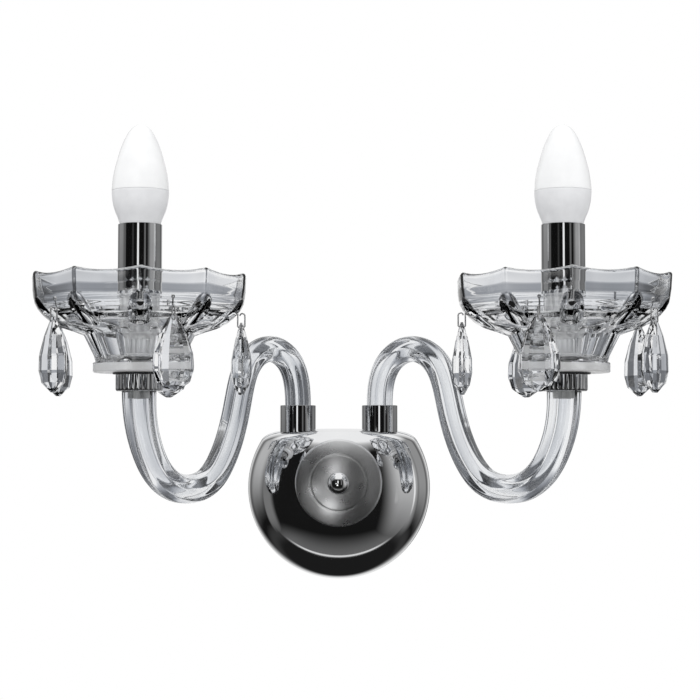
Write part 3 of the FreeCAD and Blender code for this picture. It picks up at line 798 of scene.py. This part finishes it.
# candle cup: a foot, a neck and a cup, with a ledge under the sleeve
candle = {
    # (radius, height over its underside, corner radius)
    "outside": [(12.5, 0.0, 0.4), (12.5, 4.5, 1.0), (8.5, 5.1, 0.5), (8.5, 14.6, 2.0),
                (12.8, 18.8, 4.5), (12.8, 23.1, 0)],
    "ledge": 1.2,
    "ledgeEdge": 0.3,
    "ledgeRoot": 0.2,
    "hole": 5.1,
    "recess": 11.9,
    "recessHeight": 19.6,
    "edgeRows": 7,
    "columns": 128,
    "crease": 40,
}


def buildCandleCup(side):
    node = "candle_cup_" + side
    low, top = bottomOf(node), topOf(node)
    under = top - candle["ledge"]
    bottom = low + candle["recessHeight"]
    corners = [(candle["hole"], low, 0)]
    corners += [(r, low + z, corner) for r, z, corner in candle["outside"]]
    corners += [(candle["outside"][-1][0], under, candle["ledgeRoot"]),
                (sleeve["radius"], under, candle["ledgeEdge"]),
                (sleeve["radius"], top, candle["ledgeEdge"]),
                (candle["recess"], top, 0), (candle["recess"], bottom, 0),
                (candle["hole"], bottom, 0)]
    outline = roundedOutline(corners, candle["edgeRows"])
    mesh = turnedMesh("candleCup_" + side, outline, axisOf(node), candle["columns"])
    placePiece("candleCup." + side, mesh, silverCup, "fixture", node, candle["crease"])


def buildSleeve(side):
    node = "candle_sleeve_" + side
    low, top = bottomOf(node), topOf(node)
    inner = sleeve["radius"] - sleeve["wall"]
    outline = roundedOutline([
        (inner, low, 0), (sleeve["radius"], low, sleeve["footEdge"]),
        (sleeve["radius"], top, sleeve["edge"]), (inner, top, sleeve["edge"])])
    mesh = turnedMesh("candleSleeve_" + side, outline, axisOf(node), sleeve["columns"])
    placePiece("candleSleeve." + side, mesh, shadedChrome, "fixture", node, sleeve["crease"])


# bulb: a housing on the screw cap and an opal diffuser, with a fine seam between them
bulb = {
    # (radius, height over the cap), down from the seam
    "housing": [(18.4, 32.5), (18.1, 28.0), (16.4, 20.0), (13.7, 13.1), (12.4, 8.5), (10.4, 3.0),
                (8.6, 0.0)],
    # (radius, height over the seam)
    "diffuser": [(18.4, 0.0), (18.2, 3.5), (17.4, 10.3), (15.1, 20.2), (12.3, 29.2), (9.2, 36.0),
                 (5.4, 41.2), (0.0, 43.8)],
    "wall": 1.2,
    "hollowFrom": 3.0,
    "seamGroove": 0.35,
    "seamGap": 0.02,
    "lipShare": 0.3,
    "lipHeight": 0.12,
    # the housing's inside: its floor over the cap, and its well below the seam
    "floor": 2.0,
    "wellRadius": 14.0,
    "wellDepth": 3.0,
    "spacing": 0.7,
    "tip": 0.02,
    "columns": 160,
    "crease": 35,
}


# edge of one half at the seam; way is 1 for the upper half and -1 for the lower
def seamLip(seam, way):
    girth, groove = bulb["housing"][0][0], bulb["seamGroove"]
    return [(girth - 2 * bulb["wall"], seam + way * bulb["seamGap"]),
            (girth - groove, seam + way * bulb["seamGap"]),
            (girth - groove * bulb["lipShare"], seam + way * bulb["lipHeight"])]


def buildBulb(side):
    centre = axisOf("bulb_cap_" + side)
    capTop = topOf("bulb_cap_" + side)
    seam = capTop + bulb["housing"][0][1]
    wall, tip, body = bulb["wall"], bulb["tip"], "bulb_" + side

    profile = curveThrough([(r, seam + z) for r, z in bulb["diffuser"]], bulb["spacing"])
    outline = seamLip(seam, 1) + [(max(r, tip), z) for r, z in profile[1:]]
    outline += [(max(r - wall, tip), z - wall) for r, z in profile[::-6]
                if z > seam + bulb["hollowFrom"]]
    mesh = turnedMesh("bulbDiffuser_" + side, outline, centre, bulb["columns"])
    placePiece("bulbDiffuser." + side, mesh, opalDiffuser, body,
               "bulb_diffuser_" + side, bulb["crease"])

    profile = curveThrough([(r, capTop + z) for r, z in bulb["housing"]], bulb["spacing"])
    well = seam - bulb["wellDepth"]
    outline = [(tip, capTop + bulb["floor"]), (tip, well), (bulb["wellRadius"], well)]
    outline += seamLip(seam, -1) + [(r, z) for r, z in profile[1:]] + [(tip, capTop)]
    mesh = turnedMesh("bulbHousing_" + side, outline, centre, bulb["columns"])
    placePiece("bulbHousing." + side, mesh, bulbHousing, body,
               "bulb_housing_" + side, bulb["crease"])


for side in sides:
    buildCandleCup(side)
    buildSleeve(side)
    buildBulb(side)
print("candle cups, sleeves and bulbs built")


# wire hooks: a headed pin down through the bowl, out, up and over in a curl
hook = {
    "radius": 0.5,
    "pinReach": 63.0,
    "headRadius": 1.2,
    # heights over the bowl's seat
    "headHeight": 44.5,
    "rungHeight": 29.8,
    # heights over the rung's middle
    "pinEnd": 4.0,
    "legStart": 5.0,
    "curlHeight": 7.2,
    "bend": 0.8,
    "gap": 4.6,
    "curl": 1.6,
    "count": 5,
    "start": {"left": 25.0, "right": -20.0},
    "bendRows": 6,
    "curlRows": 12,
    "headRows": 8,
    "tip": 0.01,
    "sides": 14,
    "crease": 60,
}


# round wire along a flat path of (reach, height) points
def wireRings(path):
    rings = []
    for i, (r, z) in enumerate(path):
        r0, z0 = path[max(i - 1, 0)]
        r1, z1 = path[min(i + 1, len(path) - 1)]
        length = math.hypot(r1 - r0, z1 - z0)
        tr, tz = (r1 - r0) / length, (z1 - z0) / length
        ring = []
        for angle in anglesRound(hook["sides"]):
            out, aside = hook["radius"] * math.cos(angle), hook["radius"] * math.sin(angle)
            ring.append((r - tz * out, aside, z + tr * out))
        rings.append(ring)
    return rings


def headRings(reach, height):
    rings = []
    for k in range(hook["headRows"] + 1):
        angle = math.pi * (0.5 - k / hook["headRows"])
        r = max(hook["headRadius"] * math.cos(angle), hook["tip"])
        z = height + hook["headRadius"] * math.sin(angle)
        rings.append([(reach + r * math.cos(turn), r * math.sin(turn), z)
                      for turn in anglesRound(hook["sides"])])
    return rings


def hookPath(seat):
    low = seat + hook["rungHeight"]
    inner, outer = hook["pinReach"], hook["pinReach"] + hook["gap"]
    bend, curl = hook["bend"], hook["curl"]
    path = [(inner, seat + hook["headHeight"]), (inner, low + hook["pinEnd"])]
    path += arcPoints((inner + bend, low + bend), bend, 180, 270, hook["bendRows"])
    path += arcPoints((outer - bend, low + bend), bend, 270, 360, hook["bendRows"])
    path += [(outer, low + hook["legStart"])]
    return path + arcPoints((outer - curl, low + hook["curlHeight"]), curl, 0, 180, hook["curlRows"])


def buildHook(side, index):
    seat = bottomOf("bowl_" + side)
    centre = axisOf("candle_sleeve_" + side)
    turn = math.radians(hook["start"][side] + index * 360.0 / hook["count"] - 90)
    count = hook["sides"]
    points, faces = [], []
    for rings in (headRings(hook["pinReach"], seat + hook["headHeight"]), wireRings(hookPath(seat))):
        first = len(points)
        last = first + (len(rings) - 1) * count
        points += [(centre[0] + r * math.cos(turn) - aside * math.sin(turn),
                    centre[1] + r * math.sin(turn) + aside * math.cos(turn), z)
                   for ring in rings for r, aside, z in ring]
        for row in range(first, last, count):
            for j in range(count):
                k = (j + 1) % count
                faces.append((row + j, row + k, row + count + k, row + count + j))
        faces.append(tuple(range(first, first + count))[::-1])
        faces.append(tuple(range(last, last + count)))
    mesh = meshFrom("wireHook_%s_%d" % (side, index + 1), points, faces)
    placePiece("wireHook.%s.%d" % (side, index + 1), mesh, brightWire, "fixture",
               "hook_%s_%d" % (side, index + 1), hook["crease"])


for side in sides:
    for index in range(hook["count"]):
        buildHook(side, index)
print("wire hooks built")


# solids whose shape is right keep it and only get a finish
keptFinishes = {
    "wall_bracket": zincSteel,
    "centre_stud": zincSteel,
    "stud_nut": zincSteel,
    "arm_carrier": zincSteel,
    "terminal_block": terminalPlastic,
}
pairFinishes = {
    "arm_nipple_": zincSteel,
    "arm_nut_": zincSteel,
    "candle_nipple_": zincSteel,
    "washer_": darkWasher,
    "lampholder_": blackHolder,
    "bulb_cap_": nickelCap,
}
for side in sides:
    for stem, finish in pairFinishes.items():
        keptFinishes[stem + side] = finish
    for index in range(hook["count"]):
        keptFinishes["drop_%s_%d" % (side, index + 1)] = dropCrystal
for node, finish in keptFinishes.items():
    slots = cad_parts[node].data.materials
    if len(slots):
        for k in range(len(slots)):
            slots[k] = finish
    else:
        slots.append(finish)
print("kept nodes finished:", len(keptFinishes))


# studio round the object; angles are in degrees, azimuth 0 is straight out from the wall
room = {
    # light seen in the metal: azimuth, half width, soft edge, elevation, half height,
    # soft edge, brightness
    "panels": [
        (-80, 3, 7, 10, 30, 30, 0.18), (-112, 10, 32, 40, 20, 48, 0.48),
        (-31, 2, 5, 12, 22, 10, 0.06), (-4, 3, 3, 13, 12, 6, 1.5), (32, 2, 5, 12, 22, 10, 0.22),
        (76, 8, 26, 32, 14, 84, 0.55), (62, 1, 5, 12, 22, 14, 0.42), (86, 1, 4, 14, 18, 30, 0.9),
        (118, 12, 18, 24, 20, 36, 0.30), (-10, 4, 5, -19, 3, 6, 2.4), (-24, 3, 5, -3, 1, 4, 2.0),
    ],
    "dark": 0.008,
    # from, to and brightness
    "backGlow": (132, 178, 0.85),
    "ceiling": (34, 52, 0.92),
    # table in front of the lamp, by the angle below the level, and the shade behind its edge
    "table": (44, 73, 0.13),
    "tableEdge": (74, 0.5, 1.1, 0.75),
    "shade": (75, 77, 0.012),
    # elevations over which the table and its edge come in
    "level": (-24, -48),
    "edgeLevel": (-40, -60),
    # plain light on the object, below and above
    "studio": (0.74, 1.02),
    # light seen through the glass by elevation, with darker gaps between windows all round
    "glassBands": [(-90, 0.8), (-35, 0.6), (-20, 0.95), (4.4, 1.0), (5.8, 0.66), (8, 0.42),
                   (15, 0.20), (25, 0.30), (33, 1.0), (90, 1.0)],
    "glassWindows": 8,
    "glassGap": (0.25, 0.60, 0.16),
    # finer ripple all round, and the tint of the light by its strength
    "glassRipple": (15, 0.74),
    "tint": [(0.0, (0, 0, 0)), (0.35, (0.325, 0.34, 0.37)), (0.8, (0.79, 0.80, 0.82)),
             (1.0, (1, 1, 1))],
}


# a socket takes a number, or a link from another node
def feed(tree, socket, value):
    if isinstance(value, (int, float)):
        socket.default_value = value
    else:
        tree.links.new(value, socket)


def mathNode(tree, operation, *values):
    node = tree.nodes.new("ShaderNodeMath")
    node.operation = operation
    for socket, value in zip(node.inputs, values):
        feed(tree, socket, value)
    return node.outputs["Value"]


def product(tree, first, second):
    return mathNode(tree, "MULTIPLY", first, second)


def degreesNode(tree, operation, *values):
    return mathNode(tree, "DEGREES", mathNode(tree, operation, *values))


# eases from toLow at low to toHigh at high, also where low is the higher number
def rangeNode(tree, value, low, high, toLow=0.0, toHigh=1.0):
    node = tree.nodes.new("ShaderNodeMapRange")
    node.interpolation_type = "SMOOTHSTEP"
    if low > high:
        low, high, toLow, toHigh = high, low, toHigh, toLow
    names = ("From Min", "From Max", "To Min", "To Max")
    for name, number in zip(names, (low, high, toLow, toHigh)):
        node.inputs[name].default_value = number
    tree.links.new(value, node.inputs["Value"])
    return node.outputs["Result"]


# kind is FLOAT or RGBA
def mixNode(tree, kind, factor, first, second):
    node = tree.nodes.new("ShaderNodeMix")
    node.data_type = kind
    wanted = "VALUE" if kind == "FLOAT" else kind
    feed(tree, node.inputs["Factor"], factor)
    for name, value in (("A", first), ("B", second)):
        socket = next(s for s in node.inputs if s.name == name and s.type == wanted)
        feed(tree, socket, value)
    return next(s for s in node.outputs if s.type == wanted)


# one within the half width of the centre, falling to zero over the soft edge
def windowNode(tree, value, centre, half, soft):
    away = mathNode(tree, "ABSOLUTE", mathNode(tree, "SUBTRACT", value, centre))
    return rangeNode(tree, away, half, half + soft, 1.0, 0.0)


def metalLight(tree, azimuth, elevation, dip):
    low, high, light = room["backGlow"]
    glow = rangeNode(tree, mathNode(tree, "ABSOLUTE", azimuth), low, high, room["dark"], light)
    for centre, half, soft, height, halfHeight, softHeight, light in room["panels"]:
        across = windowNode(tree, azimuth, centre, half, soft)
        up = windowNode(tree, elevation, height, halfHeight, softHeight)
        glow = mathNode(tree, "MAXIMUM", glow, product(tree, product(tree, across, up), light))
    below = rangeNode(tree, elevation, *room["level"])
    low, high, light = room["table"]
    table = product(tree, rangeNode(tree, dip, low, high, 0.0, light), below)
    glow = mathNode(tree, "MAXIMUM", glow, table)
    low, high, light = room["shade"]
    glow = mixNode(tree, "FLOAT", product(tree, rangeNode(tree, dip, low, high), below), glow, light)
    below = rangeNode(tree, elevation, *room["edgeLevel"])
    angle, half, soft, light = room["tableEdge"]
    edge = product(tree, windowNode(tree, dip, angle, half, soft), below)
    glow = mixNode(tree, "FLOAT", edge, glow, light)
    low, high, light = room["ceiling"]
    return mixNode(tree, "FLOAT", rangeNode(tree, elevation, low, high), glow, light)


def glassLight(tree, azimuth, elevation):
    bands = [((angle + 90) / 180, (light,) * 3) for angle, light in room["glassBands"]]
    share = mathNode(tree, "DIVIDE", mathNode(tree, "ADD", elevation, 90.0), 180.0)
    grey = tree.nodes.new("ShaderNodeRGBToBW")
    tree.links.new(rampNode(tree, share, bands), grey.inputs["Color"])
    turns = product(tree, azimuth, math.radians(room["glassWindows"]))
    wave = mathNode(tree, "ADD", product(tree, mathNode(tree, "COSINE", turns), 0.5), 0.5)
    low, high, gap = room["glassGap"]
    level = product(tree, grey.outputs["Val"], rangeNode(tree, wave, low, high, gap, 1.0))
    count, low = room["glassRipple"]
    turns = product(tree, mathNode(tree, "ADD", azimuth, 180.0), math.radians(count))
    return product(tree, level, rangeNode(tree, mathNode(tree, "COSINE", turns), -1.0, 1.0, low, 1.0))


# the camera sees plain white; metal, glass and dull surfaces each get their own light
def buildRoom():
    world = bpy.data.worlds.new("studioRoom")
    bpy.context.scene.world = world
    world.use_nodes = True
    tree = world.node_tree
    coord = tree.nodes.new("ShaderNodeTexCoord")
    split = tree.nodes.new("ShaderNodeSeparateXYZ")
    tree.links.new(coord.outputs["Generated"], split.inputs["Vector"])
    x, y, z = (split.outputs[k] for k in "XYZ")
    back, down = (product(tree, value, -1.0) for value in (y, z))
    azimuth = degreesNode(tree, "ARCTAN2", x, back)
    elevation = degreesNode(tree, "ARCSINE", z)
    dip = degreesNode(tree, "ARCTAN2", down, back)
    metal = metalLight(tree, azimuth, elevation, dip)
    glass = rampNode(tree, glassLight(tree, azimuth, elevation), room["tint"])
    studio = rangeNode(tree, z, -1.0, 1.0, *room["studio"])
    path = tree.nodes.new("ShaderNodeLightPath")
    light = mixNode(tree, "FLOAT", path.outputs["Is Glossy Ray"], studio, metal)
    light = mixNode(tree, "FLOAT", path.outputs["Is Camera Ray"], light, 1.0)
    light = mixNode(tree, "RGBA", path.outputs["Is Transmission Ray"], light, glass)
    tree.links.new(light, tree.nodes["Background"].inputs["Color"])


# pale round floor that fades out to the white room, in metres
floor = {
    "middle": (0, -0.06, -0.25),
    "radius": 0.75,
    "fade": (0.22, 0.72),
    "dark": (0.8471, 0.8471, 0.8471),
    "light": (0.86, 0.86, 0.86),
    "grain": 14,
    "rough": 0.85,
    "sides": 128,
}


def floorFinish():
    material, tree, shader = newFinish("palePaper")
    addColour(tree, shader, addNoise(tree, floor["grain"]), floor["dark"], floor["light"])
    shader.inputs["Roughness"].default_value = floor["rough"]
    coord = tree.nodes.new("ShaderNodeTexCoord")
    distance = tree.nodes.new("ShaderNodeVectorMath")
    distance.operation = "DISTANCE"
    distance.inputs[1].default_value = floor["middle"]
    tree.links.new(coord.outputs["Object"], distance.inputs[0])
    fade = rangeNode(tree, distance.outputs["Value"], *floor["fade"], 1.0, 0.0)
    tree.links.new(fade, shader.inputs["Alpha"])
    return material


def buildFloor():
    mesh = bpy.data.meshes.new("paleFloor")
    bm = bmesh.new()
    bmesh.ops.create_circle(bm, cap_ends=True, segments=floor["sides"], radius=floor["radius"],
                            matrix=Matrix.Translation(floor["middle"]))
    bm.to_mesh(mesh)
    bm.free()
    mesh.materials.append(floorFinish())
    piece = bpy.data.objects.new("paleFloor", mesh)
    bpy.context.scene.collection.objects.link(piece)
    piece.visible_glossy = False


lamps = {
    "softKey": {"place": (-0.7, -1.1, 1.0), "size": 0.9, "power": 5.0},
    "softFill": {"place": (0.9, -0.8, 0.4), "size": 0.9, "power": 2.0},
}
lampAim = (0, -0.08, 0.08)


def buildLamps():
    for name, look in lamps.items():
        data = bpy.data.lights.new(name, "AREA")
        data.size = look["size"]
        data.energy = look["power"]
        lamp = bpy.data.objects.new(name, data)
        bpy.context.scene.collection.objects.link(lamp)
        lamp.location = look["place"]
        lamp.rotation_euler = (Vector(lampAim) - lamp.location).to_track_quat("-Z", "Y").to_euler()
        lamp.visible_glossy = False
        lamp.visible_transmission = False


camera = {"lens": 92.57, "sensor": 36.0, "place": (0.0075, -1.243, 0.0255), "pitch": 3.18}


def buildCamera():
    data = bpy.data.cameras.new("photoCamera")
    data.lens = camera["lens"]
    data.sensor_width = camera["sensor"]
    piece = bpy.data.objects.new("photoCamera", data)
    bpy.context.scene.collection.objects.link(piece)
    piece.location = camera["place"]
    piece.rotation_euler = (math.radians(90 + camera["pitch"]), 0, 0)
    bpy.context.scene.camera = piece


buildFloor()
buildRoom()
buildLamps()
buildCamera()
bpy.context.scene.view_settings.view_transform = "Standard"
print("floor, room, lamps and camera ready")
